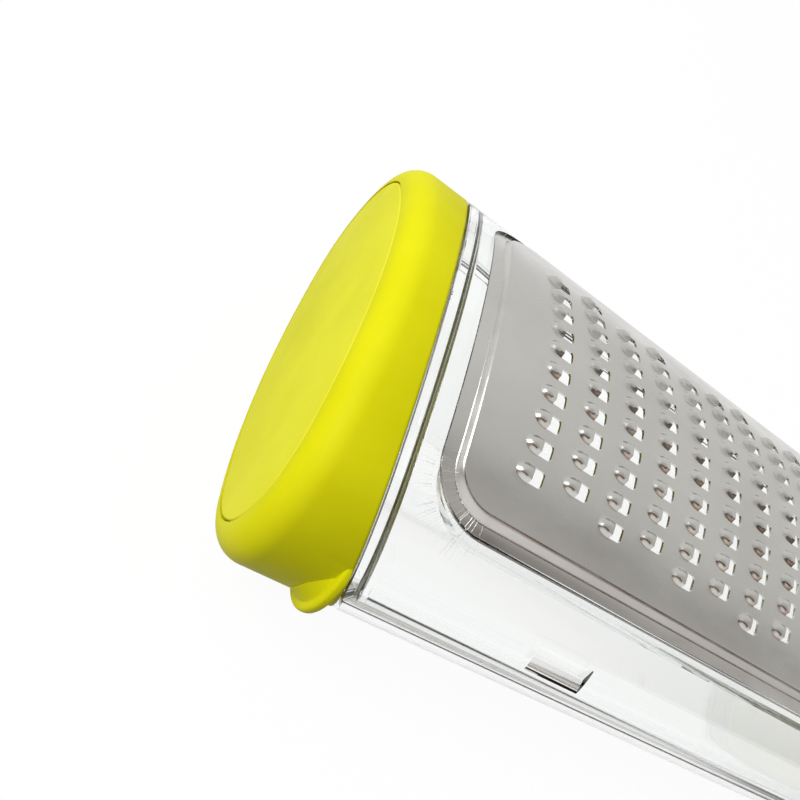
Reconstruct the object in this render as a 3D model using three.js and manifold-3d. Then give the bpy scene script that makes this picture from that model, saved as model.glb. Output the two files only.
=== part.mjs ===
// A hand-held cheese grater. An arched steel plate sits in a clear oval body that collects the shreds.
// Lime caps close both ends: the front one pulls off by its tab, and the body's lower half is a tray.
// The body's ends are cut on a slant, so most pieces are built square and then sheared along the body.
import * as THREE from 'three';
import { mergeGeometries, mergeVertices } from 'three/addons/utils/BufferGeometryUtils.js';
import Module from 'manifold-3d';

const wasm = await Module();
wasm.setup();

// Driving dimensions in millimetres, angles in radians
const bodyHalfWidth = 37.4;
const bodyHalfHeight = 24.3;
const bodyBroadRadius = 57.7;
const bodyLength = 168;
const bodyWall = 2.4;
const endSlant = 0.352;
const restFlatDepth = 0.6;
const clearance = 0.3;
const arcSteps = 10;

const shoulderLength = 2.8;
const neckLength = 5;
const neckWall = 1.8;

const capDepth = 17.6;
const capSkirtWall = 2.2;
const capEndWall = 2.8;
const capEdgeRadius = 4.4;
const capEdgeSteps = 4;
const padInset = 4.6;
const padThickness = 1.2;
const gasketThickness = 1.4;
const gasketWidth = 2.4;
const tabRadius = 11;
const tabOffset = 11.7;
const tabAngle = -0.1;
const tabSetback = 2.3;
const tabThickness = 1.6;
const tabSteps = 48;

const plateThickness = 0.6;
const plateRise = 0.6;
const flangeStart = 4.9;
const flangeSideMargin = 7.9;
const flangeCornerRadius = 8;
const flangeWidth = 2.4;
const lipWall = 1.2;
const retainerMargin = 1.6;
const retainerThickness = 1.6;
const cornerSteps = 5;

const firstToothColumn = 11.9;
const toothColumnPitch = 8.12;
const toothRowPitch = 4.2;
const toothColumnShift = 1.7;
const firstToothRow = -18.9;
const toothSideMargin = 8.15;
const toothFieldMargin = 5.5;
const toothWidth = 2.6;
const toothLength = 3;
const toothHeight = 1.2;
const holeLength = 2.4;

const trayLipHeight = 1.2;
const trayLipRoot = 3;
const trayLipWall = 1.2;
const gripWidth = 10.8;
const gripInset = 36.6;
const gripTop = 14.2;
const gripShoulder = 9.5;
const gripFold = 6.4;
const gripBottom = 0.8;
const gripFaceDepth = 0.2;
const gripDepth = 1.2;
const gripToeDepth = 0.2;

// The oval section: broad arcs above and below, narrow arcs at the sides, tangent where they meet
const narrowRadius = (2 * bodyBroadRadius * bodyHalfHeight - bodyHalfWidth ** 2 - bodyHalfHeight ** 2)
  / (2 * (bodyBroadRadius - bodyHalfWidth));
const narrowCentre = bodyHalfWidth - narrowRadius;
const broadCentre = bodyBroadRadius - bodyHalfHeight;
const narrowSweep = Math.atan2(broadCentre, narrowCentre);

// Sizes that follow from the ones above
const neckInset = capSkirtWall + clearance;
const neckInnerInset = neckInset + neckWall;
const gasketStart = neckLength + clearance;
const pocketDepth = gasketStart + gasketThickness + clearance;
const rearNeckLength = pocketDepth - clearance;
const ledgeInset = neckInset + gasketWidth + clearance;
const trayLipInset = bodyWall + clearance;
const flangeInset = lipWall + clearance;
const panelGap = flangeWidth + clearance;
const flangeHalfWidth = bodyHalfWidth - flangeSideMargin;
const toothFieldHalf = flangeHalfWidth - toothSideMargin;
const seamHalfGap = clearance / 2;
const far = 4 * (bodyLength + capDepth);

const alongX = new THREE.Matrix4().makeBasis(
  new THREE.Vector3(0, 1, 0),
  new THREE.Vector3(0, 0, 1),
  new THREE.Vector3(1, 0, 0),
);
const slantShear = new THREE.Matrix4().makeShear(0, 0, 0, 0, -endSlant, 0);

// Closed mesh to a solid for cutting and joining, and back
function looseFaces(geometry) {
  return geometry.index ? geometry.toNonIndexed() : geometry.clone();
}

function solidOf(geometry) {
  const bare = looseFaces(geometry);
  bare.deleteAttribute('normal');
  bare.deleteAttribute('uv');
  const merged = mergeVertices(bare, 1e-4);
  return new wasm.Manifold(new wasm.Mesh({
    numProp: 3,
    vertProperties: new Float32Array(merged.attributes.position.array),
    triVerts: new Uint32Array(merged.index.array),
  }));
}

function geometryOf(solid) {
  const mesh = solid.getMesh();
  const geometry = new THREE.BufferGeometry();
  const positions = new Float32Array(mesh.numVert * 3);
  for (let vertex = 0; vertex < mesh.numVert; vertex += 1) {
    for (let axis = 0; axis < 3; axis += 1) {
      positions[vertex * 3 + axis] = mesh.vertProperties[vertex * mesh.numProp + axis];
    }
  }
  geometry.setAttribute('position', new THREE.BufferAttribute(positions, 3));
  geometry.setIndex(new THREE.BufferAttribute(new Uint32Array(mesh.triVerts), 1));
  return geometry;
}

// The oval drawn in by an inset, as points round four arcs
function ovalShape(inset) {
  const broad = bodyBroadRadius - inset;
  const narrow = narrowRadius - inset;
  const arcs = [
    [narrowCentre, 0, narrow, -narrowSweep],
    [0, -broadCentre, broad, narrowSweep],
    [-narrowCentre, 0, narrow, Math.PI - narrowSweep],
    [0, broadCentre, broad, Math.PI + narrowSweep],
  ];
  const points = [];
  arcs.forEach(([y, z, radius, start], index) => {
    const sweep = index % 2 === 0 ? 2 * narrowSweep : Math.PI - 2 * narrowSweep;
    const curve = new THREE.EllipseCurve(y, z, radius, radius, start, start + sweep);
    points.push(...curve.getPoints(arcSteps).slice(0, -1));
  });
  return new THREE.Shape(points);
}

function ovalGeometry(inset, start, end) {
  const geometry = new THREE.ExtrudeGeometry(ovalShape(inset), { depth: end - start, bevelEnabled: false });
  return geometry.applyMatrix4(alongX).translate(start, 0, 0);
}

function ovalSolid(inset, start, end) {
  return solidOf(ovalGeometry(inset, start, end));
}

function ovalTube(outerInset, innerInset, start, end) {
  const bore = ovalSolid(innerInset, start - far, end + far);
  return ovalSolid(outerInset, start, end).subtract(bore);
}

function boxGeometry(start, end) {
  const size = end.clone().sub(start);
  const middle = start.clone().add(end).multiplyScalar(0.5);
  return new THREE.BoxGeometry(size.x, size.y, size.z).translate(middle.x, middle.y, middle.z);
}

// Everything between two heights
function slab(low, high) {
  return solidOf(boxGeometry(new THREE.Vector3(-far, -far, low), new THREE.Vector3(far, far, high)));
}

// A rounded rectangle seen from above, as an upright prism through the upper half of the body
function planPrism(margin) {
  const half = flangeHalfWidth - margin;
  const start = flangeStart + margin;
  const end = bodyLength - start;
  const corner = flangeCornerRadius - margin;
  const corners = [
    [end - corner, half - corner],
    [start + corner, half - corner],
    [start + corner, corner - half],
    [end - corner, corner - half],
  ];
  const points = [];
  corners.forEach(([x, y], index) => {
    const turn = index * Math.PI / 2;
    const curve = new THREE.EllipseCurve(x, y, corner, corner, turn, turn + Math.PI / 2);
    points.push(...curve.getPoints(cornerSteps));
  });
  const depth = 2 * bodyHalfHeight;
  return solidOf(new THREE.ExtrudeGeometry(new THREE.Shape(points), { depth, bevelEnabled: false }));
}

// Half width of the outside at a height on the narrow arc
function sideAt(height) {
  return narrowCentre + Math.sqrt(narrowRadius ** 2 - height ** 2);
}

// Finger grips stand at both ends of both sides
function gripPlaces() {
  const places = [];
  for (const side of [-1, 1]) {
    for (const x of [gripInset, bodyLength - gripInset]) {
      places.push({ side, x });
    }
  }
  return places;
}

// A finger grip: a flat with a notch folded in below it, cut in the outside of the housing above the seam
function gripCutter({ side, x }) {
  const outside = bodyHalfWidth + bodyWall;
  const profile = [
    [sideAt(gripTop) - gripFaceDepth, gripTop],
    [sideAt(gripShoulder) - gripFaceDepth, gripShoulder],
    [sideAt(gripFold) - gripDepth, gripFold],
    [sideAt(gripBottom) - gripToeDepth, gripBottom],
    [outside, gripBottom],
    [outside, gripTop],
  ];
  const points = profile.map(([y, z]) => new THREE.Vector2(side * y, z));
  const depth = gripWidth;
  const geometry = new THREE.ExtrudeGeometry(new THREE.Shape(points), { depth, bevelEnabled: false });
  return solidOf(geometry.applyMatrix4(alongX).translate(x - gripWidth / 2, 0, 0));
}

// Clear upper half: wall, shoulders, a neck at each end, the plate's opening and the rebate for its flange
function upperHousing() {
  const above = slab(seamHalfGap, far);
  const frontShoulder = ovalTube(0, neckInnerInset, 0, shoulderLength);
  const rearShoulder = ovalTube(0, neckInnerInset, bodyLength - shoulderLength, bodyLength);
  const upper = ovalTube(0, bodyWall, 0, bodyLength).add(frontShoulder).add(rearShoulder).intersect(above);
  const frontNeck = ovalTube(neckInset, neckInnerInset, -neckLength, 0);
  const rearNeck = ovalTube(neckInset, neckInnerInset, bodyLength, bodyLength + rearNeckLength);
  const neckRoots = ovalTube(neckInset, neckInnerInset, -neckLength / 2, bodyLength + neckLength / 2);
  const frontRoot = neckRoots.intersect(ovalSolid(0, -neckLength / 2, shoulderLength / 2));
  const rearRoot = neckRoots.intersect(
    ovalSolid(0, bodyLength - shoulderLength / 2, bodyLength + neckLength / 2),
  );
  const roots = frontRoot.add(rearRoot).intersect(above);
  const rebate = planPrism(-clearance).intersect(ovalSolid(lipWall, 0, bodyLength));
  let housing = upper.add(roots).add(frontNeck).add(rearNeck);
  housing = housing.subtract(planPrism(flangeWidth)).subtract(rebate);
  gripPlaces().forEach((place) => {
    housing = housing.subtract(gripCutter(place));
  });
  return geometryOf(housing).applyMatrix4(slantShear);
}

// Clear lower half: wall and an inner lip that stands up behind the seam
function collectingTray() {
  const below = slab(-far, -seamHalfGap);
  const start = clearance;
  const end = bodyLength - clearance;
  const lipStart = shoulderLength + 2 * clearance;
  const lipEnd = bodyLength - lipStart;
  const lipInnerInset = trayLipInset + trayLipWall;
  const root = ovalTube(bodyWall / 2, lipInnerInset, lipStart, lipEnd)
    .intersect(slab(-trayLipRoot, -seamHalfGap));
  const lip = ovalTube(trayLipInset, lipInnerInset, lipStart, lipEnd)
    .intersect(slab(-trayLipRoot, trayLipHeight));
  const shell = ovalTube(0, bodyWall, start, end).intersect(below).add(root).add(lip);
  const tray = shell.subtract(slab(-far, restFlatDepth - bodyHalfHeight));
  return geometryOf(tray).applyMatrix4(slantShear);
}

// The pressed sheet before its teeth: flange, step wall and raised panel
function plateSheet() {
  const panelPlan = planPrism(panelGap);
  const underPanel = planPrism(panelGap + plateThickness);
  const outerSkin = ovalSolid(-plateRise, 0, bodyLength);
  const flange = ovalTube(flangeInset, flangeInset + plateThickness, 0, bodyLength)
    .intersect(planPrism(0))
    .subtract(underPanel);
  const panel = panelPlan.intersect(outerSkin)
    .subtract(underPanel.intersect(ovalSolid(plateThickness - plateRise, 0, bodyLength)))
    .subtract(ovalSolid(flangeInset + plateThickness, 0, bodyLength));
  return geometryOf(flange.add(panel)).applyMatrix4(slantShear);
}

// Places of the teeth: slanted columns, each shifted against the one before it
function toothPlaces() {
  const places = [];
  const panelEnd = bodyLength - flangeStart - panelGap - endSlant * bodyHalfHeight;
  const lastColumn = panelEnd - toothFieldMargin;
  for (let column = 0; firstToothColumn + column * toothColumnPitch <= lastColumn; column += 1) {
    const shift = (column * toothColumnShift) % toothRowPitch;
    const rowsBelow = Math.floor((toothFieldHalf + firstToothRow + shift) / toothRowPitch);
    for (let row = -rowsBelow; firstToothRow + shift + row * toothRowPitch <= toothFieldHalf; row += 1) {
      const along = firstToothRow + shift + row * toothRowPitch;
      places.push({ x: firstToothColumn + column * toothColumnPitch, angle: along / bodyBroadRadius });
    }
  }
  return places;
}

// A tooth is a ramp that ends in a cutting lip, with its hole straight after it
function toothRamp() {
  const root = -plateThickness / 2;
  const ramp = new THREE.Shape([
    new THREE.Vector2(-toothLength, root),
    new THREE.Vector2(0, root),
    new THREE.Vector2(0, toothHeight),
  ]);
  const geometry = new THREE.ExtrudeGeometry(ramp, { depth: toothWidth, bevelEnabled: false });
  return geometry.translate(0, 0, -toothWidth / 2).rotateX(Math.PI / 2);
}

function toothHole() {
  const reach = 2 * (flangeInset + plateRise);
  return new THREE.BoxGeometry(holeLength, toothWidth, reach).translate(holeLength / 2, 0, 0);
}

function overPlate(makeOne) {
  const top = bodyBroadRadius + plateRise;
  const copies = toothPlaces().map(({ x, angle }) => {
    const copy = looseFaces(makeOne());
    return copy.translate(0, 0, top).rotateX(-angle).translate(x, 0, -broadCentre);
  });
  return solidOf(mergeGeometries(copies));
}

function graterPlate() {
  const sheet = solidOf(plateSheet());
  return geometryOf(sheet.subtract(overPlate(toothHole)).add(overPlate(toothRamp)));
}

// The frame that holds the flange up against the housing's lip, from inside
function plateRetainer() {
  const outerInset = bodyWall + clearance;
  const ring = ovalTube(outerInset, outerInset + retainerThickness, 0, bodyLength);
  const frame = ring.intersect(planPrism(-retainerMargin)).subtract(planPrism(panelGap + plateThickness));
  return geometryOf(frame).applyMatrix4(slantShear);
}

// Oval prism with its front edge rounded, from the cap's end face back past the rim
function roundedFront() {
  const depth = capDepth + bodyLength / 2;
  const geometry = new THREE.ExtrudeGeometry(ovalShape(0), {
    depth,
    bevelThickness: capEdgeRadius,
    bevelSize: capEdgeRadius,
    bevelOffset: -capEdgeRadius,
    bevelSegments: capEdgeSteps,
  });
  return solidOf(geometry.applyMatrix4(alongX).translate(capEdgeRadius - capDepth, 0, 0));
}

// The pull tab: a crescent on the near side, square to the body, that ends at the slanted rim
function pullTab() {
  const middle = -narrowCentre - tabOffset * Math.cos(tabAngle);
  const height = tabOffset * Math.sin(tabAngle);
  const curve = new THREE.EllipseCurve(middle, height, tabRadius, tabRadius);
  const disc = new THREE.Shape(curve.getPoints(tabSteps).slice(0, -1));
  const geometry = new THREE.ExtrudeGeometry(disc, { depth: tabThickness, bevelEnabled: false });
  const placed = geometry.applyMatrix4(alongX).translate(-tabSetback - tabThickness, 0, 0);
  const inside = ovalSolid(capSkirtWall / 2, -far, far);
  return solidOf(placed).subtract(inside);
}

// A cap that slips over a neck: skirt, ledge for the neck's rim, end wall with the pad's recess.
// Its underside is cut flat on the side that the grater rests on.
function endCap(groundSide, withTab) {
  const rimCorner = new THREE.Vector3(-clearance, -far, -far);
  const behindRim = boxGeometry(rimCorner, new THREE.Vector3(far, far, far));
  const pocket = ovalGeometry(capSkirtWall, -pocketDepth, far);
  const hollow = ovalSolid(ledgeInset, capEndWall - capDepth, far);
  const recessEnd = padThickness + clearance - capDepth;
  const recess = ovalSolid(padInset - clearance, -capDepth - padThickness, recessEnd);
  let cap = withTab ? roundedFront().add(pullTab()) : roundedFront();
  cap = cap.subtract(solidOf(behindRim.applyMatrix4(slantShear)));
  cap = cap.subtract(solidOf(pocket.applyMatrix4(slantShear))).subtract(hollow).subtract(recess);
  const ground = slab(-far, restFlatDepth - bodyHalfHeight);
  const sky = slab(bodyHalfHeight - restFlatDepth, far);
  return geometryOf(cap.subtract(groundSide < 0 ? ground : sky));
}

function capPad() {
  return ovalGeometry(padInset, -capDepth, padThickness - capDepth);
}

function capGasket() {
  const start = -gasketStart - gasketThickness;
  const ring = ovalTube(neckInset, neckInset + gasketWidth, start, -gasketStart);
  return geometryOf(ring).applyMatrix4(slantShear);
}

// Materials
const lime = { color: 0xb8bf12, roughness: 0.55, metalness: 0 };
const limePad = { color: 0xb4bc14, roughness: 0.62, metalness: 0 };
const clear = { color: 0xeef2f2, roughness: 0.05, metalness: 0, transparent: true, opacity: 0.35 };
const steel = { color: 0xa9a6a1, roughness: 0.3, metalness: 1 };
const silicone = { color: 0xe4e4dc, roughness: 0.6, metalness: 0 };

function piece(name, geometry, look) {
  geometry.computeVertexNormals();
  const mesh = new THREE.Mesh(geometry, new THREE.MeshStandardMaterial(look));
  mesh.name = name;
  return mesh;
}

// The grater stands on its flat underside, with its middle over the origin
const grater = new THREE.Group();
grater.position.set(-bodyLength / 2, 0, bodyHalfHeight - restFlatDepth);
grater.add(piece('upper_housing', upperHousing(), clear));
grater.add(piece('collecting_tray', collectingTray(), clear));
grater.add(piece('grater_plate', graterPlate(), steel));
grater.add(piece('plate_retainer', plateRetainer(), clear));
grater.add(piece('front_cap', endCap(-1, true), lime));
grater.add(piece('front_cap_pad', capPad(), limePad));
grater.add(piece('cap_gasket', capGasket(), silicone));

// The rear cap is the front one turned end for end, without a tab
const rearEnd = new THREE.Group();
rearEnd.position.set(bodyLength, 0, 0);
rearEnd.rotation.y = Math.PI;
rearEnd.add(piece('rear_cap', endCap(1, false), lime));
rearEnd.add(piece('rear_cap_pad', capPad(), limePad));
grater.add(rearEnd);

export default grater;
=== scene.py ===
import math

import bmesh
import bpy
from mathutils import Matrix, Vector


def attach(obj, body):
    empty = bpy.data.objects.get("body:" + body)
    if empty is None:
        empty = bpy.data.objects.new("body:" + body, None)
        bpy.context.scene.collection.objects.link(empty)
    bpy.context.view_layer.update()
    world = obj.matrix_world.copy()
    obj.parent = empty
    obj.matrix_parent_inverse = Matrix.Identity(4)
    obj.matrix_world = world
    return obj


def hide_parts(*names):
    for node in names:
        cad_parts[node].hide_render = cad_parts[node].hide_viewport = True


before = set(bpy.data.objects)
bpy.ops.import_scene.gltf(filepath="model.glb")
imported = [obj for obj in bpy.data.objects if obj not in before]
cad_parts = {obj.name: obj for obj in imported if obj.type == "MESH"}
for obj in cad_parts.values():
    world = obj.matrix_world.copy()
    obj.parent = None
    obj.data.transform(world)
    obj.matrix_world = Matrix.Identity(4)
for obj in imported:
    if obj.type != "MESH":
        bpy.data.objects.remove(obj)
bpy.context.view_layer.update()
mm = 0.001

# the oval body that every moulding follows, in mm, as in the solids
body = {
    "halfWidth": 37.4,
    "halfHeight": 24.3,
    "broadRadius": 57.7,
    "length": 168.0,
    "wall": 2.4,
    "slant": 0.352,          # the ends lean by this much per mm of height
    "restFlat": 0.6,
    "gap": 0.3,
    "broadSteps": 64,
    "narrowSteps": 40,
}
body["narrowRadius"] = (
    2 * body["broadRadius"] * body["halfHeight"] - body["halfWidth"] ** 2 - body["halfHeight"] ** 2
) / (2 * (body["broadRadius"] - body["halfWidth"]))
body["narrowCentre"] = body["halfWidth"] - body["narrowRadius"]
body["broadCentre"] = body["broadRadius"] - body["halfHeight"]
body["narrowSweep"] = math.atan2(body["broadCentre"], body["narrowCentre"])
far = 400.0                  # longer than anything here
overrun = 5.0                # how far a cutter runs past what it cuts
roundSegments = 4            # faces round a small edge
mergeDistance = 0.02         # corners nearer than this become one
smoothAngle = {"steel": 40, "clear": 25, "lime": 30, "lime_pad": 30}


# general helpers

def deselectAll():
    if bpy.context.object and bpy.context.object.mode != "OBJECT":
        bpy.ops.object.mode_set(mode="OBJECT")
    bpy.ops.object.select_all(action="DESELECT")


def makeActive(piece):
    deselectAll()
    piece.select_set(True)
    bpy.context.view_layer.objects.active = piece


def newest(name):
    piece = bpy.context.object
    piece.name = name
    piece.data.name = name
    return piece


def applyModifier(piece, modifier):
    makeActive(piece)
    bpy.ops.object.modifier_apply(modifier=modifier.name)


def combine(piece, other, operation):
    modifier = piece.modifiers.new(operation.lower(), "BOOLEAN")
    modifier.operation = operation
    modifier.solver = "MANIFOLD"
    modifier.object = other
    applyModifier(piece, modifier)
    bpy.data.objects.remove(other)


def cutAway(piece, cutter):
    combine(piece, cutter, "DIFFERENCE")


def addOn(piece, other):
    combine(piece, other, "UNION")


def keepWithin(piece, other):
    combine(piece, other, "INTERSECT")


def smooth(piece, degrees):
    makeActive(piece)
    bpy.ops.object.shade_smooth_by_angle(angle=math.radians(degrees))


def weighNormals(piece):
    # broad faces keep their own shading where small ones meet them
    modifier = piece.modifiers.new("weigh", "WEIGHTED_NORMAL")
    modifier.mode = "FACE_AREA"
    modifier.weight = 90
    modifier.keep_sharp = True
    applyModifier(piece, modifier)


def bevelEdges(piece, width, segments, chosen):
    # rounds the edges that chosen() picks by their two ends
    makeActive(piece)
    bpy.ops.object.mode_set(mode="EDIT")
    bpy.ops.mesh.select_mode(type="EDGE")
    bpy.ops.mesh.select_all(action="DESELECT")
    work = bmesh.from_edit_mesh(piece.data)
    for edge in work.edges:
        edge.select = chosen(edge.verts[0].co, edge.verts[1].co)
    bmesh.update_edit_mesh(piece.data)
    bpy.ops.mesh.bevel(offset=width, offset_type="OFFSET", segments=segments, profile=0.5, affect="EDGES")
    bpy.ops.object.mode_set(mode="OBJECT")


def cleanUp(piece):
    makeActive(piece)
    bpy.ops.object.mode_set(mode="EDIT")
    bpy.ops.mesh.select_all(action="SELECT")
    bpy.ops.mesh.remove_doubles(threshold=mergeDistance * mm)
    bpy.ops.mesh.normals_make_consistent(inside=False)
    bpy.ops.object.mode_set(mode="OBJECT")


def addBox(low, high):
    deselectAll()
    bpy.ops.mesh.primitive_cube_add(size=1)
    box = newest("cutter")
    for vertex in box.data.vertices:
        vertex.co = [(a if side < 0 else b) * mm for side, a, b in zip(vertex.co, low, high)]
    return box


def lean(piece):
    # leans a square-cut piece along the body, as the body's ends lean
    for vertex in piece.data.vertices:
        vertex.co.x -= body["slant"] * vertex.co.z


def settle(piece):
    # from the section's own place to the frame: middle of the body over the origin, resting on the floor
    rise = (body["halfHeight"] - body["restFlat"]) * mm
    piece.data.transform(Matrix.Translation((-body["length"] / 2 * mm, 0, rise)))


# the oval section

def ovalOutline(inset):
    broad = body["broadRadius"] - inset
    narrow = body["narrowRadius"] - inset
    sweep = body["narrowSweep"]
    arcs = [
        (body["narrowCentre"], 0, narrow, -sweep, 2 * sweep, body["narrowSteps"]),
        (0, -body["broadCentre"], broad, sweep, math.pi - 2 * sweep, body["broadSteps"]),
        (-body["narrowCentre"], 0, narrow, math.pi - sweep, 2 * sweep, body["narrowSteps"]),
        (0, body["broadCentre"], broad, math.pi + sweep, math.pi - 2 * sweep, body["broadSteps"]),
    ]
    outline = []
    for y, z, radius, start, turn, steps in arcs:
        for step in range(steps):
            angle = start + turn * step / steps
            outline.append((y + radius * math.cos(angle), z + radius * math.sin(angle)))
    return outline


def addPrism(outline, name, placePoint):
    # a cylinder whose rim is drawn out to the outline; placePoint gives a corner's place at either end
    deselectAll()
    bpy.ops.mesh.primitive_cylinder_add(vertices=len(outline), radius=1, depth=2, end_fill_type="NGON")
    prism = newest(name)
    for vertex in prism.data.vertices:
        turn = math.atan2(vertex.co.y, vertex.co.x) / (2 * math.pi)
        first, second = outline[round(turn * len(outline)) % len(outline)]
        vertex.co = [value * mm for value in placePoint(first, second, vertex.co.z > 0)]
    cleanUp(prism)
    return prism


def addOval(inset, start, end, name="oval"):
    # the oval section, lying along X
    return addPrism(ovalOutline(inset), name, lambda y, z, atEnd: (end if atEnd else start, y, z))


def addOvalTube(outerInset, innerInset, start, end, name="tube"):
    tube = addOval(outerInset, start, end, name)
    cutAway(tube, addOval(innerInset, start - overrun, end + overrun))
    return tube


def topHeight(y, inset):
    # height of the upper side at a distance from the middle
    broad = body["broadRadius"] - inset
    narrow = body["narrowRadius"] - inset
    if abs(y) <= broad * math.cos(body["narrowSweep"]):
        return math.sqrt(broad ** 2 - y ** 2) - body["broadCentre"]
    return math.sqrt(max(narrow ** 2 - (abs(y) - body["narrowCentre"]) ** 2, 0))


def sideAt(height):
    return body["narrowCentre"] + math.sqrt(body["narrowRadius"] ** 2 - height ** 2)


# the plate's outline from above, shared with the opening in the housing
plan = {
    "start": 5.4,
    "halfWidth": 28.7,
    "corner": 7.5,
    "endStretch": 1.3,       # margins at the ends are wider than along the sides by this much
    "cornerSteps": 12,
    "sideSteps": 40,
    "cutTop": 40.0,          # above the body's top
}


def planCore(x, y):
    # nearest point of the rectangle that the round corners turn about
    lowX = plan["start"] + plan["endStretch"] * plan["corner"]
    highX = body["length"] - lowX
    halfY = plan["halfWidth"] - plan["corner"]
    return min(max(x, lowX), highX), min(max(y, -halfY), halfY)


def planMargin(x, y):
    # how far inside the outline a point lies
    coreX, coreY = planCore(x, y)
    return plan["corner"] - math.hypot((x - coreX) / plan["endStretch"], y - coreY)


def planChain(margin):
    # one end of the outline, from the near long side round to the far one
    radius = plan["corner"] - margin
    reach = plan["endStretch"] * radius
    lowX = plan["start"] + plan["endStretch"] * plan["corner"]
    halfY = plan["halfWidth"] - plan["corner"]
    chain = []
    for step in range(plan["cornerSteps"]):
        angle = math.pi / 2 * step / plan["cornerSteps"]
        chain.append((lowX - reach * math.sin(angle), -halfY - radius * math.cos(angle)))
    for step in range(plan["sideSteps"]):
        chain.append((lowX - reach, -halfY + 2 * halfY * step / plan["sideSteps"]))
    for step in range(plan["cornerSteps"] + 1):
        angle = math.pi / 2 * step / plan["cornerSteps"]
        chain.append((lowX - reach * math.cos(angle), halfY + radius * math.sin(angle)))
    return chain


def addPlanPrism(margin, low):
    high = plan["cutTop"]
    chain = planChain(margin)
    ring = chain + [(body["length"] - x, y) for x, y in reversed(chain)]
    return addPrism(ring, "planPrism", lambda x, y, atTop: (x, y, high if atTop else low))


# materials

def newMaterial(name):
    material = bpy.data.materials.new(name)
    material.use_nodes = True
    nodes = material.node_tree.nodes
    shader = nodes["Principled BSDF"]
    place = nodes.new("ShaderNodeTexCoord")
    return material, nodes, material.node_tree.links, shader, place


def addNoise(nodes, links, place, scale, detail, roughness=0.55, stretch=None):
    noise = nodes.new("ShaderNodeTexNoise")
    noise.inputs["Scale"].default_value = scale
    noise.inputs["Detail"].default_value = detail
    noise.inputs["Roughness"].default_value = roughness
    source = place.outputs["Object"]
    if stretch:
        mapping = nodes.new("ShaderNodeMapping")
        mapping.inputs["Scale"].default_value = stretch
        links.new(source, mapping.inputs["Vector"])
        source = mapping.outputs["Vector"]
    links.new(source, noise.inputs["Vector"])
    return noise.outputs["Fac"]


def addRamp(nodes, links, source, stops):
    ramp = nodes.new("ShaderNodeValToRGB")
    while len(ramp.color_ramp.elements) < len(stops):
        ramp.color_ramp.elements.new(0.5)
    for element, (position, color) in zip(ramp.color_ramp.elements, stops):
        element.position = position
        element.color = (*color, 1.0)
    links.new(source, ramp.inputs["Fac"])
    return ramp.outputs["Color"]


def paint(nodes, links, source, stops, socket):
    # colours a socket by a value's place on a ramp
    links.new(addRamp(nodes, links, source, stops), socket)


def addBump(nodes, links, source, shader, strength, depth):
    bump = nodes.new("ShaderNodeBump")
    bump.inputs["Strength"].default_value = strength
    bump.inputs["Distance"].default_value = depth * mm
    links.new(source, bump.inputs["Height"])
    links.new(bump.outputs["Normal"], shader.inputs["Normal"])


def addMath(nodes, links, operation, *values):
    # each value is a number or another node's socket
    node = nodes.new("ShaderNodeMath")
    node.operation = operation
    for socket, value in zip(node.inputs, values):
        if isinstance(value, (int, float)):
            socket.default_value = value
        else:
            links.new(value, socket)
    return node.outputs["Value"]


def mixShaders(nodes, links, part, first, second):
    mix = nodes.new("ShaderNodeMixShader")
    links.new(part, mix.inputs["Fac"])
    links.new(first, mix.inputs[1])
    links.new(second, mix.inputs[2])
    return mix.outputs["Shader"]


def grey(value):
    return (value, value, value)


# each noise below is its scale and detail, then its roughness and stretch where they aren't the usual
limeFinish = {
    "cap": {"color": [(0.3, (0.66, 0.63, 0.003)), (0.7, (0.73, 0.70, 0.008))],
            "gloss": [(0.35, grey(0.42)), (0.7, grey(0.54))]},
    # the pad's colour is its own lime with a painted sheen laid in: its lift in lightness and blue over the
    # cap's lime stands in for the highlight on its lit face
    "pad": {"color": [(0.3, (0.72, 0.70, 0.028)), (0.7, (0.80, 0.78, 0.042))],
            "gloss": [(0.35, grey(0.50)), (0.7, grey(0.62))]},
    "mottle": (60.0, 5.0),
    "wear": (25.0, 6.0),
    "grain": (5200.0, 2.0),
    "grainStrength": 0.25,
    "grainDepth": 0.02,
    "sheen": 0.04,
}


def softLime(name, finish):
    # soft-touch moulding: faint mottling, a fine even grain and a dull sheen
    material, nodes, links, shader, place = newMaterial(name)
    mottle = addNoise(nodes, links, place, *limeFinish["mottle"])
    paint(nodes, links, mottle, finish["color"], shader.inputs["Base Color"])
    wear = addNoise(nodes, links, place, *limeFinish["wear"])
    paint(nodes, links, wear, finish["gloss"], shader.inputs["Roughness"])
    grain = addNoise(nodes, links, place, *limeFinish["grain"])
    addBump(nodes, links, grain, shader, limeFinish["grainStrength"], limeFinish["grainDepth"])
    shader.inputs["Specular IOR Level"].default_value = limeFinish["sheen"]
    return material


crazing = {
    "centre": (-75.6, 21.2),     # where the plate's front corners turn, in mm from the middle
    "fineness": 30.0,
    "detail": 2.0,
    "plastic": (7.4, 9.8),       # where the hairlines start and where they have died away
    "steel": (5.3, 9.0),
    "strand": [(0.58, grey(0.0)), (0.66, grey(1.0))],
    "spill": 1.0,                # how far the fan runs past the corner's quarter
    "whiteness": 0.35,
}


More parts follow.
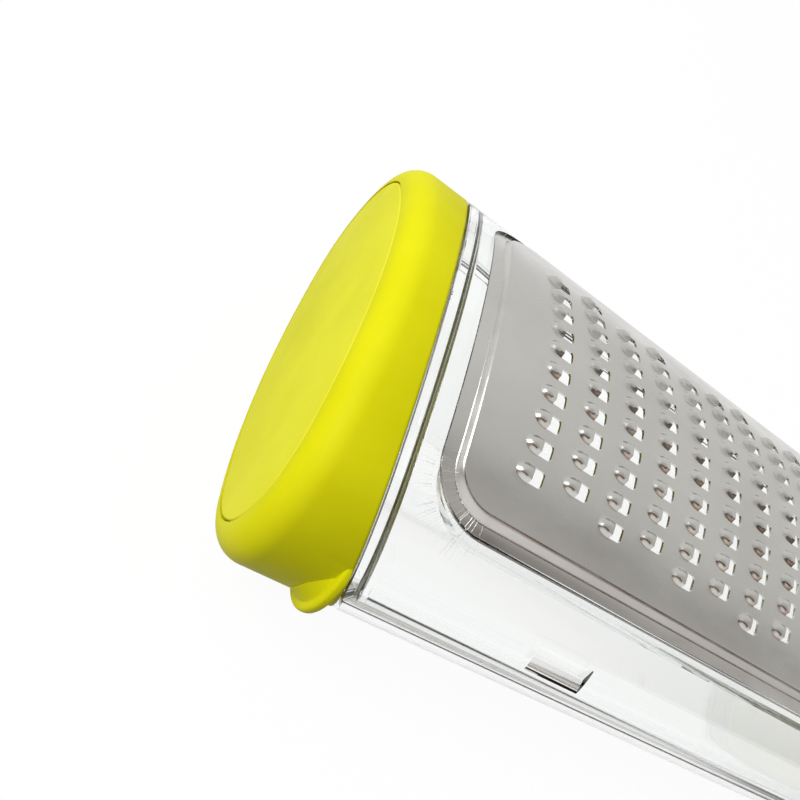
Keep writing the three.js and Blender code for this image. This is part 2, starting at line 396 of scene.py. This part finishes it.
def addCrazing(nodes, links, place, inner, outer):
    # hairlines that fan out from a corner of the plate, as a strength from none to one
    split = nodes.new("ShaderNodeSeparateXYZ")
    links.new(place.outputs["Object"], split.inputs["Vector"])
    centreX, centreY = crazing["centre"]
    across = addMath(nodes, links, "SUBTRACT", split.outputs["X"], centreX * mm)
    across = addMath(nodes, links, "DIVIDE", across, plan["endStretch"])
    sideways = addMath(nodes, links, "ABSOLUTE", split.outputs["Y"])
    sideways = addMath(nodes, links, "SUBTRACT", sideways, centreY * mm)
    turn = addMath(nodes, links, "ARCTAN2", sideways, across)
    acrossSquare = addMath(nodes, links, "MULTIPLY", across, across)
    sidewaysSquare = addMath(nodes, links, "MULTIPLY", sideways, sideways)
    reach = addMath(nodes, links, "SQRT", addMath(nodes, links, "ADD", acrossSquare, sidewaysSquare))
    strands = nodes.new("ShaderNodeTexNoise")
    strands.noise_dimensions = "1D"
    strands.inputs["Scale"].default_value = crazing["fineness"]
    strands.inputs["Detail"].default_value = crazing["detail"]
    links.new(turn, strands.inputs["W"])
    hair = addRamp(nodes, links, strands.outputs["Fac"], crazing["strand"])
    near = addMath(nodes, links, "GREATER_THAN", reach, inner * mm)
    fade = nodes.new("ShaderNodeMapRange")
    fade.inputs["From Min"].default_value = outer * mm
    fade.inputs["From Max"].default_value = inner * mm
    links.new(reach, fade.inputs["Value"])
    towardsEnd = addMath(nodes, links, "LESS_THAN", across, crazing["spill"] * mm)
    towardsSide = addMath(nodes, links, "GREATER_THAN", sideways, -crazing["spill"] * mm)
    shown = addMath(nodes, links, "MULTIPLY", near, fade.outputs["Result"])
    for part in (towardsEnd, towardsSide, hair):
        shown = addMath(nodes, links, "MULTIPLY", shown, part)
    return shown


clearFinish = {
    "tint": (0.985, 0.995, 0.99, 1.0),
    "ior": 1.49,
    "marks": (90.0, 7.0, 0.65),
    "gloss": [(0.45, grey(0.0)), (0.75, grey(0.06))],
    "crackColor": (0.75, 0.74, 0.72, 1.0),
}


def clearPlastic(name):
    # clear moulding: near smooth, with faint handling marks in its gloss
    material, nodes, links, shader, place = newMaterial(name)
    shader.inputs["Base Color"].default_value = clearFinish["tint"]
    shader.inputs["Transmission Weight"].default_value = 1.0
    shader.inputs["IOR"].default_value = clearFinish["ior"]
    marks = addNoise(nodes, links, place, *clearFinish["marks"])
    paint(nodes, links, marks, clearFinish["gloss"], shader.inputs["Roughness"])
    crack = nodes.new("ShaderNodeBsdfDiffuse")
    crack.inputs["Color"].default_value = clearFinish["crackColor"]
    cracks = addCrazing(nodes, links, place, *crazing["plastic"])
    part = addMath(nodes, links, "MULTIPLY", cracks, crazing["whiteness"])
    mixed = mixShaders(nodes, links, part, shader.outputs["BSDF"], crack.outputs["BSDF"])
    links.new(mixed, nodes["Material Output"].inputs["Surface"])
    return material


steelFinish = {
    "color": [(0.3, (0.60, 0.59, 0.575)), (0.7, (0.70, 0.69, 0.675))],
    "panelGloss": [(0.45, grey(0.17)), (0.95, grey(0.32))],
    "stepGloss": [(0.45, grey(0.28)), (0.95, grey(0.42))],
    "clouds": (45.0, 6.0),
    "smears": (130.0, 5.0, 0.6, (1.0, 3.0, 3.0)),
    "lines": (900.0, 3.0, 0.6, (0.4, 12.0, 12.0)),   # rolling lines run along the plate
    "lineShare": 0.35,
    "wrinkleStrength": 0.5,
    "wrinkleDepth": 0.15,
}


def rolledSteel(name, gloss):
    # cold-rolled stainless: fine lines along the sheet, faint clouds and smears
    material, nodes, links, shader, place = newMaterial(name)
    shader.inputs["Metallic"].default_value = 1.0
    clouds = addNoise(nodes, links, place, *steelFinish["clouds"])
    paint(nodes, links, clouds, steelFinish["color"], shader.inputs["Base Color"])
    smears = addNoise(nodes, links, place, *steelFinish["smears"])
    lines = addNoise(nodes, links, place, *steelFinish["lines"])
    both = addMath(nodes, links, "MULTIPLY_ADD", lines, steelFinish["lineShare"], smears)
    paint(nodes, links, both, gloss, shader.inputs["Roughness"])
    wrinkles = addCrazing(nodes, links, place, *crazing["steel"])
    addBump(nodes, links, wrinkles, shader, steelFinish["wrinkleStrength"], steelFinish["wrinkleDepth"])
    return material


siliconeFinish = {
    "color": [(0.3, (0.70, 0.70, 0.66)), (0.7, (0.78, 0.78, 0.74))],
    "clouds": (140.0, 4.0),
    "roughness": 0.55,
}


def siliconeRubber(name):
    material, nodes, links, shader, place = newMaterial(name)
    clouds = addNoise(nodes, links, place, *siliconeFinish["clouds"])
    paint(nodes, links, clouds, siliconeFinish["color"], shader.inputs["Base Color"])
    shader.inputs["Roughness"].default_value = siliconeFinish["roughness"]
    return material


capLime = softLime("capLime", limeFinish["cap"])
# the pad's material carries a painted sheen in its colour, on top of the lime
padLimePaintedSheen = softLime("padLimePaintedSheen", limeFinish["pad"])
clear = clearPlastic("clearStyrene")
steel = rolledSteel("rolledSteel", steelFinish["panelGloss"])
drawnSteel = rolledSteel("drawnSteel", steelFinish["stepGloss"])
silicone = siliconeRubber("gasketSilicone")
print("stage: materials")


def coat(piece, material):
    piece.data.materials.clear()
    piece.data.materials.append(material)


def finishPiece(piece, bodyName, node, slotName):
    smooth(piece, smoothAngle[slotName])
    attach(piece, bodyName)
    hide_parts(node)
    print("stage:", piece.name, len(piece.data.polygons), "faces")


# grating plate

plate = {
    "thickness": 0.4,
    "flangeInset": 0.45,
    "rise": 0.6,
    "stepStart": 1.8,
    "stepLean": 53.0,        # degrees from level
    "footRadius": 0.35,
    "edgeRadius": 0.6,
    "flangeLoop": 1.2,       # margin of the loop that keeps the flange flat
    "dullBand": (0.1, 1.6),  # the drawn finish lies between these, in from the step's start
    "dullLean": 12.0,        # and where the step leans to within this of its full slope
    "bendSteps": 6,
    "lengthSteps": 44,
    "firstColumn": 11.9,
    "columnPitch": 8.12,
    "rowPitch": 4.2,
    "columnShift": 1.7,
    "firstRow": -18.9,
    "fieldHalf": 21.35,
    "endMargin": 5.5,
    "panelMargin": 2.7,
    "bumpRadii": (3.0, 1.6, 0.85),
    "bumpSink": 0.06,
    "bumpShoulder": 0.55,    # part of the reach over which a bump rises
    "bumpRoot": 0.25,
    "bumpEnd": 0.05,         # a bump is cut off here, just past the hole's edge
    "bumpFacets": (18, 12),
    "scoopRadii": (2.0, 1.05, 0.6),
    "scoopReach": 2.0,
    "scoopEnd": 0.4,
    "scoopFacets": (14, 8),
    "holeLength": 2.4,
    "holeWidth": 2.5,
    "holeCorner": 0.55,
    "holeSegments": 3,
}


def stepProfile():
    # margins and insets of the loops from the panel's edge out to the flange's edge
    tilt = math.radians(plate["stepLean"])
    foot = plate["footRadius"]
    edge = plate["edgeRadius"]
    drop = plate["rise"] + plate["flangeInset"]
    straight = (drop - (foot + edge) * (1 - math.cos(tilt))) / math.sin(tilt)
    run = (foot + edge) * math.sin(tilt) + straight * math.cos(tilt)
    panelEdge = plate["stepStart"] + run
    loops = []
    for step in range(plate["bendSteps"] + 1):
        turn = tilt * step / plate["bendSteps"]
        loops.append((panelEdge - edge * math.sin(turn), edge * (1 - math.cos(turn)) - plate["rise"]))
    for step in range(plate["bendSteps"], -1, -1):
        turn = tilt * step / plate["bendSteps"]
        rise = foot * (1 - math.cos(turn))
        loops.append((plate["stepStart"] + foot * math.sin(turn), plate["flangeInset"] - rise))
    loops.append((plate["flangeLoop"], plate["flangeInset"]))
    loops.append((0.0, plate["flangeInset"]))
    return loops


def addSheet():
    loops = stepProfile()
    chain = planChain(loops[0][0])
    deselectAll()
    rows = len(chain) - 1
    bpy.ops.mesh.primitive_grid_add(x_subdivisions=plate["lengthSteps"], y_subdivisions=rows, size=2)
    sheet = newest("gratingPlate")
    for vertex in sheet.data.vertices:
        x, y = chain[round((vertex.co.y + 1) / 2 * rows)]
        x += (body["length"] - 2 * x) * (vertex.co.x + 1) / 2
        vertex.co = (x * mm, y * mm, topHeight(y, -plate["rise"]) * mm)
    for margin, inset in loops[1:]:
        makeActive(sheet)
        bpy.ops.object.mode_set(mode="EDIT")
        bpy.ops.mesh.select_mode(type="EDGE")
        bpy.ops.mesh.select_all(action="DESELECT")
        work = bmesh.from_edit_mesh(sheet.data)
        for edge in work.edges:
            edge.select = edge.is_boundary
        bmesh.update_edit_mesh(sheet.data)
        bpy.ops.mesh.extrude_edges_move()
        work = bmesh.from_edit_mesh(sheet.data)
        for vertex in work.verts:
            if not vertex.select:
                continue
            x, y = vertex.co.x / mm, vertex.co.y / mm
            coreX, coreY = planCore(x, y)
            out = Vector(((x - coreX) / plan["endStretch"], y - coreY)).normalized()
            out *= plan["corner"] - margin
            vertex.co = (
                (coreX + out.x * plan["endStretch"]) * mm,
                (coreY + out.y) * mm,
                topHeight(coreY + out.y, inset) * mm,
            )
        bmesh.update_edit_mesh(sheet.data)
        bpy.ops.object.mode_set(mode="OBJECT")
    cleanUp(sheet)
    if sum(face.normal.z for face in sheet.data.polygons) < 0:
        makeActive(sheet)
        bpy.ops.object.mode_set(mode="EDIT")
        bpy.ops.mesh.select_all(action="SELECT")
        bpy.ops.mesh.flip_normals()
        bpy.ops.object.mode_set(mode="OBJECT")
    solid = sheet.modifiers.new("sheet", "SOLIDIFY")
    solid.thickness = plate["thickness"] * mm
    solid.offset = -1
    applyModifier(sheet, solid)
    return sheet


def bisectKeep(piece, point, normal):
    # keeps what lies behind the plane and closes the cut
    makeActive(piece)
    bpy.ops.object.mode_set(mode="EDIT")
    bpy.ops.mesh.select_all(action="SELECT")
    bpy.ops.mesh.bisect(plane_co=point, plane_no=normal, use_fill=True, clear_outer=True)
    bpy.ops.object.mode_set(mode="OBJECT")


def addEllipsoid(radii, facets):
    segments, rings = facets
    deselectAll()
    bpy.ops.mesh.primitive_uv_sphere_add(segments=segments, ring_count=rings, radius=1)
    dome = newest("dome")
    dome.data.transform(Matrix.Diagonal((*[radius * mm for radius in radii], 1)))
    return dome


def addToothBump():
    # a rounded swelling that runs out smoothly into the sheet
    bump = addEllipsoid((1 / mm, 1 / mm, 1 / mm), plate["bumpFacets"])
    bisectKeep(bump, (0, 0, 0), (0, 0, -1))
    flatBelow = 0.001        # the cut face stays under this, on a dome of radius one
    wide, across, high = plate["bumpRadii"]
    for vertex in bump.data.vertices:
        reach = min(math.hypot(vertex.co.x, vertex.co.y), 1.0)
        rise = min((1 - reach) / plate["bumpShoulder"], 1.0)
        swell = rise * rise * (3 - 2 * rise)
        lift = high * swell - plate["bumpSink"] if vertex.co.z > flatBelow else -plate["bumpRoot"]
        vertex.co = (wide * vertex.co.x * mm, across * vertex.co.y * mm, lift * mm)
    bisectKeep(bump, (plate["bumpEnd"] * mm, 0, 0), (1, 0, 0))
    return bump


def addToothScoop():
    half = plate["holeWidth"] / 2
    reach = plate["scoopReach"]
    scoop = addBox((0, -half, -reach), (plate["holeLength"], half, reach))

    def isHoleCorner(a, b):
        return min(a.x, b.x) > mm and abs(a.z - b.z) > mm
    bevelEdges(scoop, plate["holeCorner"] * mm, plate["holeSegments"], isHoleCorner)
    hollow = addEllipsoid(plate["scoopRadii"], plate["scoopFacets"])
    bisectKeep(hollow, (plate["scoopEnd"] * mm, 0, 0), (1, 0, 0))
    addOn(scoop, hollow)
    return scoop


def toothPlaces():
    panelEnd = body["length"] - plan["start"] - plate["panelMargin"] - body["slant"] * body["halfHeight"]
    places = []
    column = 0
    while plate["firstColumn"] + column * plate["columnPitch"] <= panelEnd - plate["endMargin"]:
        shift = (column * plate["columnShift"]) % plate["rowPitch"]
        below = math.floor((plate["fieldHalf"] + plate["firstRow"] + shift) / plate["rowPitch"])
        along = plate["firstRow"] + shift - below * plate["rowPitch"]
        while along <= plate["fieldHalf"]:
            places.append((plate["firstColumn"] + column * plate["columnPitch"], along))
            along += plate["rowPitch"]
        column += 1
    return places


def copyOverPlate(unit, name):
    radius = body["broadRadius"] + plate["rise"]
    copies = []
    for x, along in toothPlaces():
        copy = unit.copy()
        copy.data = unit.data.copy()
        turn = Matrix.Rotation(-along / body["broadRadius"], 4, "X")
        lift = Matrix.Translation((0, 0, radius * mm))
        place = Matrix.Translation((x * mm, 0, -body["broadCentre"] * mm))
        copy.data.transform(place @ turn @ lift)
        bpy.context.collection.objects.link(copy)
        copies.append(copy)
    bpy.data.objects.remove(unit)
    makeActive(copies[0])
    for copy in copies:
        copy.select_set(True)
    bpy.ops.object.join()
    return newest(name)


def dullStepWall(piece):
    # the steep wall of the press step gets the drawn finish
    steep = math.cos(math.radians(plate["stepLean"] - plate["dullLean"]))
    bandStart, bandEnd = [plate["stepStart"] + margin for margin in plate["dullBand"]]
    piece.data.materials.append(drawnSteel)
    for face in piece.data.polygons:
        x, y = face.center.x / mm, face.center.y / mm
        x += body["slant"] * face.center.z / mm
        inStep = bandStart < planMargin(x, y) < bandEnd
        face.material_index = int(inStep and 0 < face.normal.z < steep)


gratingPlate = addSheet()
lean(gratingPlate)
addOn(gratingPlate, copyOverPlate(addToothBump(), "bumps"))
cutAway(gratingPlate, copyOverPlate(addToothScoop(), "scoops"))
coat(gratingPlate, steel)
dullStepWall(gratingPlate)
settle(gratingPlate)
finishPiece(gratingPlate, "housing", "grater_plate", "steel")
weighNormals(gratingPlate)


# clear upper housing

housing = {
    "shoulder": 1.2,
    "neckLength": 5.0,
    "rearNeckLength": 6.7,
    "neckInset": 2.5,
    "neckWall": 1.8,
    "neckRoot": 1.0,         # how far a neck reaches into the shoulder
    "ledgeInset": 0.6,       # the flange lies on this ledge, and the wall is moulded over its edge
    "ledgeMargin": 0.15,
    "openingMargin": 1.6,
    "openingFloor": 5.0,
    "shoulderRound": 1.5,
    "shoulderSegments": 6,
    "seamRound": 0.1,
    "seamSlack": 0.01,
    "seamReach": 0.1,        # the seam's outer edges lie within this of the widest place
}
grips = {
    "width": 10.8,
    "inset": 36.6,
    "top": 14.2,
    "shoulder": 9.5,
    "fold": 6.4,
    "bottom": 0.8,
    "faceDepth": 0.35,
    "depth": 1.1,
    "toeDepth": 0.2,
}


def gripPlaces():
    return [(side, x) for side in (-1, 1) for x in (grips["inset"], body["length"] - grips["inset"])]


def addGrip(side, x):
    # a flat with a notch folded in below it
    outside = body["halfWidth"] + body["wall"]
    profile = [
        (sideAt(grips["top"]) - grips["faceDepth"], grips["top"]),
        (sideAt(grips["shoulder"]) - grips["faceDepth"], grips["shoulder"]),
        (sideAt(grips["fold"]) - grips["depth"], grips["fold"]),
        (sideAt(grips["bottom"]) - grips["toeDepth"], grips["bottom"]),
        (outside, grips["bottom"]),
        (outside, grips["top"]),
    ]
    half = grips["width"] / 2
    return addPrism(profile, "grip", lambda y, z, atEnd: (x + half if atEnd else x - half, side * y, z))


def roundSeam(shell, height):
    # softens the long outer edges where the halves meet
    outer = (body["halfWidth"] - housing["seamReach"]) * mm

    def onSeam(point):
        return abs(point.z - height * mm) < housing["seamSlack"] * mm and abs(point.y) > outer
    bevelEdges(shell, housing["seamRound"] * mm, roundSegments, lambda a, b: onSeam(a) and onSeam(b))


def makeHousing():
    length = body["length"]
    seam = body["gap"] / 2
    inner = housing["neckInset"] + housing["neckWall"]
    root = housing["neckRoot"]
    shell = addOval(0, 0, length, "clearHousing")
    addOn(shell, addOval(housing["neckInset"], -housing["neckLength"], root))
    addOn(shell, addOval(housing["neckInset"], length - root, length + housing["rearNeckLength"]))
    cutAway(shell, addBox((0, -far, -far), (length, far, seam)))
    cutAway(shell, addOval(inner, -far, far))
    inside = addOval(body["wall"], housing["shoulder"], length - housing["shoulder"])
    bevelEdges(
        inside, housing["shoulderRound"] * mm, housing["shoulderSegments"], lambda a, b: abs(a.x - b.x) < mm)
    cutAway(shell, inside)
    rebate = addPlanPrism(housing["ledgeMargin"], housing["openingFloor"])
    cutAway(rebate, addOval(housing["ledgeInset"], 0, length))
    cutAway(shell, rebate)
    cutAway(shell, addPlanPrism(housing["openingMargin"], housing["openingFloor"]))
    roundSeam(shell, seam)
    for side, x in gripPlaces():
        cutAway(shell, addGrip(side, x))
    lean(shell)
    settle(shell)
    return shell


clearHousing = makeHousing()
coat(clearHousing, clear)
finishPiece(clearHousing, "housing", "upper_housing", "clear")


# clear frame under the plate's flange

retainer = {"inset": 2.7, "thickness": 1.6, "margin": 0.5, "windowMargin": 3.3, "floor": 2.0}


def makeRetainer():
    innerInset = retainer["inset"] + retainer["thickness"]
    ring = addOvalTube(retainer["inset"], innerInset, 0, body["length"], "plateFrame")
    keepWithin(ring, addPlanPrism(retainer["margin"], retainer["floor"]))
    cutAway(ring, addPlanPrism(retainer["windowMargin"], retainer["floor"]))
    lean(ring)
    settle(ring)
    return ring


plateFrame = makeRetainer()
coat(plateFrame, clear)
finishPiece(plateFrame, "housing", "plate_retainer", "clear")


# clear collecting tray

tray = {"lipHeight": 1.2, "lipRoot": 1.4, "lipInset": 2.7, "lipWall": 1.2, "lipStart": 3.4}


def makeTray():
    length = body["length"]
    seam = body["gap"] / 2
    lipInner = tray["lipInset"] + tray["lipWall"]
    lipEnd = length - tray["lipStart"]
    shell = addOvalTube(0, body["wall"], body["gap"], length - body["gap"], "clearTray")
    cutAway(shell, addBox((-far, -far, -seam), (far, far, far)))
    roundSeam(shell, -seam)
    root = addOvalTube(body["wall"] / 2, lipInner, tray["lipStart"], lipEnd)
    keepWithin(root, addBox((-far, -far, -tray["lipRoot"]), (far, far, -seam)))
    addOn(shell, root)
    lip = addOvalTube(tray["lipInset"], lipInner, tray["lipStart"], lipEnd)
    keepWithin(lip, addBox((-far, -far, -tray["lipRoot"]), (far, far, tray["lipHeight"])))
    addOn(shell, lip)
    cutAway(shell, addBox((-far, -far, -far), (far, far, body["restFlat"] - body["halfHeight"])))
    lean(shell)
    settle(shell)
    return shell


clearTray = makeTray()
coat(clearTray, clear)
finishPiece(clearTray, "tray", "collecting_tray", "clear")


# lime caps with their pads

cap = {
    "depth": 17.6,
    "skirtWall": 2.2,
    "endWall": 2.8,
    "edgeRadius": 4.4,
    "edgeSegments": 12,
    "rimRound": 0.5,
    "edgeReach": 0.1,        # an edge within this of a flat face is on it
    "rimReach": 0.05,
    "roughEnd": 30.0,        # the shell is this long before its rim is cut
    "boreEnd": 60.0,
    "pocketDepth": 7.0,
    "ledgeInset": 5.2,
    "padInset": 4.6,
    "padThickness": 1.2,
    "padGroove": 0.25,
    "padRound": 0.35,
    "tabRadius": 11.0,
    "tabOffset": 11.7,
    "tabAngle": -0.1,
    "tabSetback": 2.3,
    "tabThickness": 1.6,
    "tabRound": 0.6,
    "tabSegments": 6,
    "tabFacets": 96,
    "tabFootHeight": 1.8,    # slope that leads from the skirt up to the tab
    "tabFootLength": 1.5,
}


def addBehindRim(setback):
    # all that lies behind the slanted rim
    behind = addBox((-setback, -far, -far), (far, far, far))
    lean(behind)
    return behind


def addPullTab():
    # a disc with a round edge, and a cone in front of it that slopes down to the skirt
    middle = -body["narrowCentre"] - cap["tabOffset"] * math.cos(cap["tabAngle"])
    height = cap["tabOffset"] * math.sin(cap["tabAngle"])
    front = -cap["tabSetback"] - cap["tabThickness"]
    alongBody = (0, math.pi / 2, 0)
    deselectAll()
    bpy.ops.mesh.primitive_cylinder_add(
        vertices=cap["tabFacets"],
        radius=cap["tabRadius"] * mm,
        depth=cap["tabThickness"] * mm,
        rotation=alongBody,
    )
    tab = newest("pullTab")
    bpy.ops.object.transform_apply(location=True, rotation=True, scale=True)
    bevelEdges(
        tab, cap["tabRound"] * mm, cap["tabSegments"], lambda a, b: abs(a.x - b.x) < cap["edgeReach"] * mm)
    tabPlace = (front + cap["tabThickness"] / 2) * mm
    tab.data.transform(Matrix.Translation((tabPlace, middle * mm, height * mm)))
    footRadius = cap["tabRadius"] - cap["tabRound"]
    deselectAll()
    bpy.ops.mesh.primitive_cone_add(
        vertices=cap["tabFacets"],
        radius1=(footRadius - cap["tabFootHeight"]) * mm,
        radius2=footRadius * mm,
        depth=2 * cap["tabFootLength"] * mm,
        rotation=alongBody,
    )
    foot = newest("tabFoot")
    bpy.ops.object.transform_apply(location=True, rotation=True, scale=True)
    footPlace = (front - cap["tabFootLength"] / 3) * mm
    foot.data.transform(Matrix.Translation((footPlace, middle * mm, height * mm)))
    addOn(tab, foot)
    cutAway(tab, addOval(cap["skirtWall"] / 2, -far, far))
    cutAway(tab, addBehindRim(body["gap"] + cap["rimRound"] / 2))
    return tab


def roundFront(piece, radius, segments):
    # rounds the edge of the end face
    front = -(cap["depth"] - cap["edgeReach"]) * mm
    bevelEdges(piece, radius * mm, segments, lambda a, b: max(a.x, b.x) < front)


def makeCap(name, groundSide, withTab):
    shell = addOval(0, -cap["depth"], cap["roughEnd"], name)
    roundFront(shell, cap["edgeRadius"], cap["edgeSegments"])
    cutAway(shell, addBehindRim(body["gap"]))
    rim = -(body["gap"] + cap["rimReach"]) * mm

    def onRim(point):
        return point.x + body["slant"] * point.z > rim
    bevelEdges(shell, cap["rimRound"] * mm, roundSegments, lambda a, b: onRim(a) and onRim(b))
    if withTab:
        addOn(shell, addPullTab())
    pocket = addOval(cap["skirtWall"], -cap["pocketDepth"], cap["boreEnd"])
    lean(pocket)
    cutAway(shell, pocket)
    cutAway(shell, addOval(cap["ledgeInset"], cap["endWall"] - cap["depth"], cap["boreEnd"]))
    recessEnd = cap["padThickness"] + body["gap"] - cap["depth"]
    cutAway(shell, addOval(cap["padInset"] - cap["padGroove"], -cap["depth"] - overrun, recessEnd))
    ground = body["halfHeight"] - body["restFlat"]
    low = (-far, -far, -far if groundSide < 0 else ground)
    high = (far, far, -ground if groundSide < 0 else far)
    cutAway(shell, addBox(low, high))
    return shell


def makePad(name):
    pad = addOval(cap["padInset"], -cap["depth"], cap["padThickness"] - cap["depth"], name)
    roundFront(pad, cap["padRound"], roundSegments)
    return pad


def turnToRear(piece):
    turn = Matrix.Rotation(math.pi, 4, "Y")
    piece.data.transform(Matrix.Translation((body["length"] * mm, 0, 0)) @ turn)


frontCap = makeCap("limeFrontCap", -1, True)
frontPad = makePad("limeFrontPad")
rearCap = makeCap("limeRearCap", 1, False)
rearPad = makePad("limeRearPad")
turnToRear(rearCap)
turnToRear(rearPad)
for piece, material, bodyName, node, slotName in (
    (frontCap, capLime, "cap", "front_cap", "lime"),
    (frontPad, padLimePaintedSheen, "cap", "front_cap_pad", "lime_pad"),
    (rearCap, capLime, "housing", "rear_cap", "lime"),
    (rearPad, padLimePaintedSheen, "housing", "rear_cap_pad", "lime_pad"),
):
    settle(piece)
    coat(piece, material)
    finishPiece(piece, bodyName, node, slotName)

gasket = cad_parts["cap_gasket"]
coat(gasket, silicone)
print("stage: gasket finish")


# floor, light and camera, in metres

studio = {
    "floorSize": 6.0,
    "worldStrength": 0.7,
    "keyPlace": (-0.75, -0.15, 0.7),
    "keyTarget": (0, 0, 0.02),
    "keySize": 0.7,
    "keyPower": 8.8,
    "floorColor": (0.28, 0.28, 0.28, 1.0),
    "floorRoughness": 0.8,
    "floorGlow": 1.18,
    "floorGlowPart": 0.8,
    # what gloss mirrors, from the near side across to the far side
    "room": [(0.0, (0.95, 0.95, 0.92)), (0.08, (0.84, 0.83, 0.78)), (0.11, (0.50, 0.28, 0.14)),
             (0.14, (0.18, 0.12, 0.09)), (0.19, (0.03, 0.03, 0.03)), (0.25, (0.12, 0.10, 0.09)),
             (0.31, (0.70, 0.68, 0.65)), (0.37, (0.54, 0.53, 0.50)), (0.435, (0.41, 0.40, 0.37)),
             (0.5, (0.64, 0.64, 0.61)), (0.6, (0.70, 0.70, 0.67)), (1.0, (0.80, 0.80, 0.78))],
    # what lights dull surfaces, over the same way
    "fill": [(0.0, grey(0.16)), (0.3, grey(0.2)), (0.6, grey(0.84)), (1.0, grey(1.0))],
}


def addSharpRays(nodes, links, ray):
    # one for rays that are seen, mirrored or refracted, none for scattered ones
    bent = addMath(nodes, links, "MAXIMUM", ray.outputs["Is Glossy Ray"], ray.outputs["Is Transmission Ray"])
    return addMath(nodes, links, "MAXIMUM", ray.outputs["Is Camera Ray"], bent)


def addFloor():
    deselectAll()
    bpy.ops.mesh.primitive_plane_add(size=studio["floorSize"])
    floor = newest("floor")
    material, nodes, links, shader, place = newMaterial("paleFloor")
    shader.inputs["Base Color"].default_value = studio["floorColor"]
    shader.inputs["Roughness"].default_value = studio["floorRoughness"]
    glow = nodes.new("ShaderNodeEmission")
    glow.inputs["Strength"].default_value = studio["floorGlow"]
    ray = nodes.new("ShaderNodeLightPath")
    part = addMath(nodes, links, "MULTIPLY", addSharpRays(nodes, links, ray), studio["floorGlowPart"])
    mixed = mixShaders(nodes, links, part, shader.outputs["BSDF"], glow.outputs["Emission"])
    links.new(mixed, nodes["Material Output"].inputs["Surface"])
    floor.data.materials.append(material)


def lightWorld():
    world = bpy.context.scene.world or bpy.data.worlds.new("studio")
    bpy.context.scene.world = world
    world.use_nodes = True
    nodes = world.node_tree.nodes
    links = world.node_tree.links
    soft = nodes["Background"]
    soft.inputs["Strength"].default_value = studio["worldStrength"]
    white = nodes.new("ShaderNodeBackground")
    white.inputs["Strength"].default_value = 1.0
    ray = nodes.new("ShaderNodeLightPath")
    sharp = addSharpRays(nodes, links, ray)
    room = nodes.new("ShaderNodeBackground")
    place = nodes.new("ShaderNodeTexCoord")
    split = nodes.new("ShaderNodeSeparateXYZ")
    links.new(place.outputs["Generated"], split.inputs["Vector"])
    across = nodes.new("ShaderNodeMapRange")
    across.inputs["From Min"].default_value = -1.0
    links.new(split.outputs["Y"], across.inputs["Value"])
    for shade, stops in ((room, studio["room"]), (soft, studio["fill"])):
        paint(nodes, links, across.outputs["Result"], stops, shade.inputs["Color"])
    glossy = mixShaders(nodes, links, sharp, soft.outputs["Background"], room.outputs["Background"])
    mixed = mixShaders(nodes, links, ray.outputs["Is Camera Ray"], glossy, white.outputs["Background"])
    links.new(mixed, nodes["World Output"].inputs["Surface"])


def addLamp(name, place, target, size, power):
    deselectAll()
    bpy.ops.object.light_add(type="AREA", location=place)
    lamp = bpy.context.object
    lamp.name = name
    lamp.data.shape = "DISK"
    lamp.data.size = size
    lamp.data.energy = power
    lamp.rotation_euler = (Vector(target) - Vector(place)).to_track_quat("-Z", "Y").to_euler()


view = {
    "eye": (-0.1284, -0.07471, 0.11776),
    "target": (-0.07494, 0.01127, 0.02106),
    "roll": 56.13,
    "lens": 34.52,
    "sensor": 36.0,
    "nearest": 0.005,
    "shift": (-0.0627, -0.0390),
}


def addCamera():
    deselectAll()
    bpy.ops.object.camera_add(location=view["eye"])
    camera = bpy.context.object
    camera.name = "photoCamera"
    aim = (Vector(view["target"]) - Vector(view["eye"])).to_track_quat("-Z", "Y").to_matrix()
    camera.rotation_euler = (aim @ Matrix.Rotation(math.radians(view["roll"]), 3, "Z")).to_euler()
    camera.data.lens = view["lens"]
    camera.data.sensor_width = view["sensor"]
    camera.data.clip_start = view["nearest"]
    camera.data.shift_x, camera.data.shift_y = view["shift"]
    bpy.context.scene.camera = camera


addFloor()
lightWorld()
addLamp("keyLamp", studio["keyPlace"], studio["keyTarget"], studio["keySize"], studio["keyPower"])
addCamera()
bpy.context.scene.view_settings.view_transform = "Standard"
print("stage: studio")
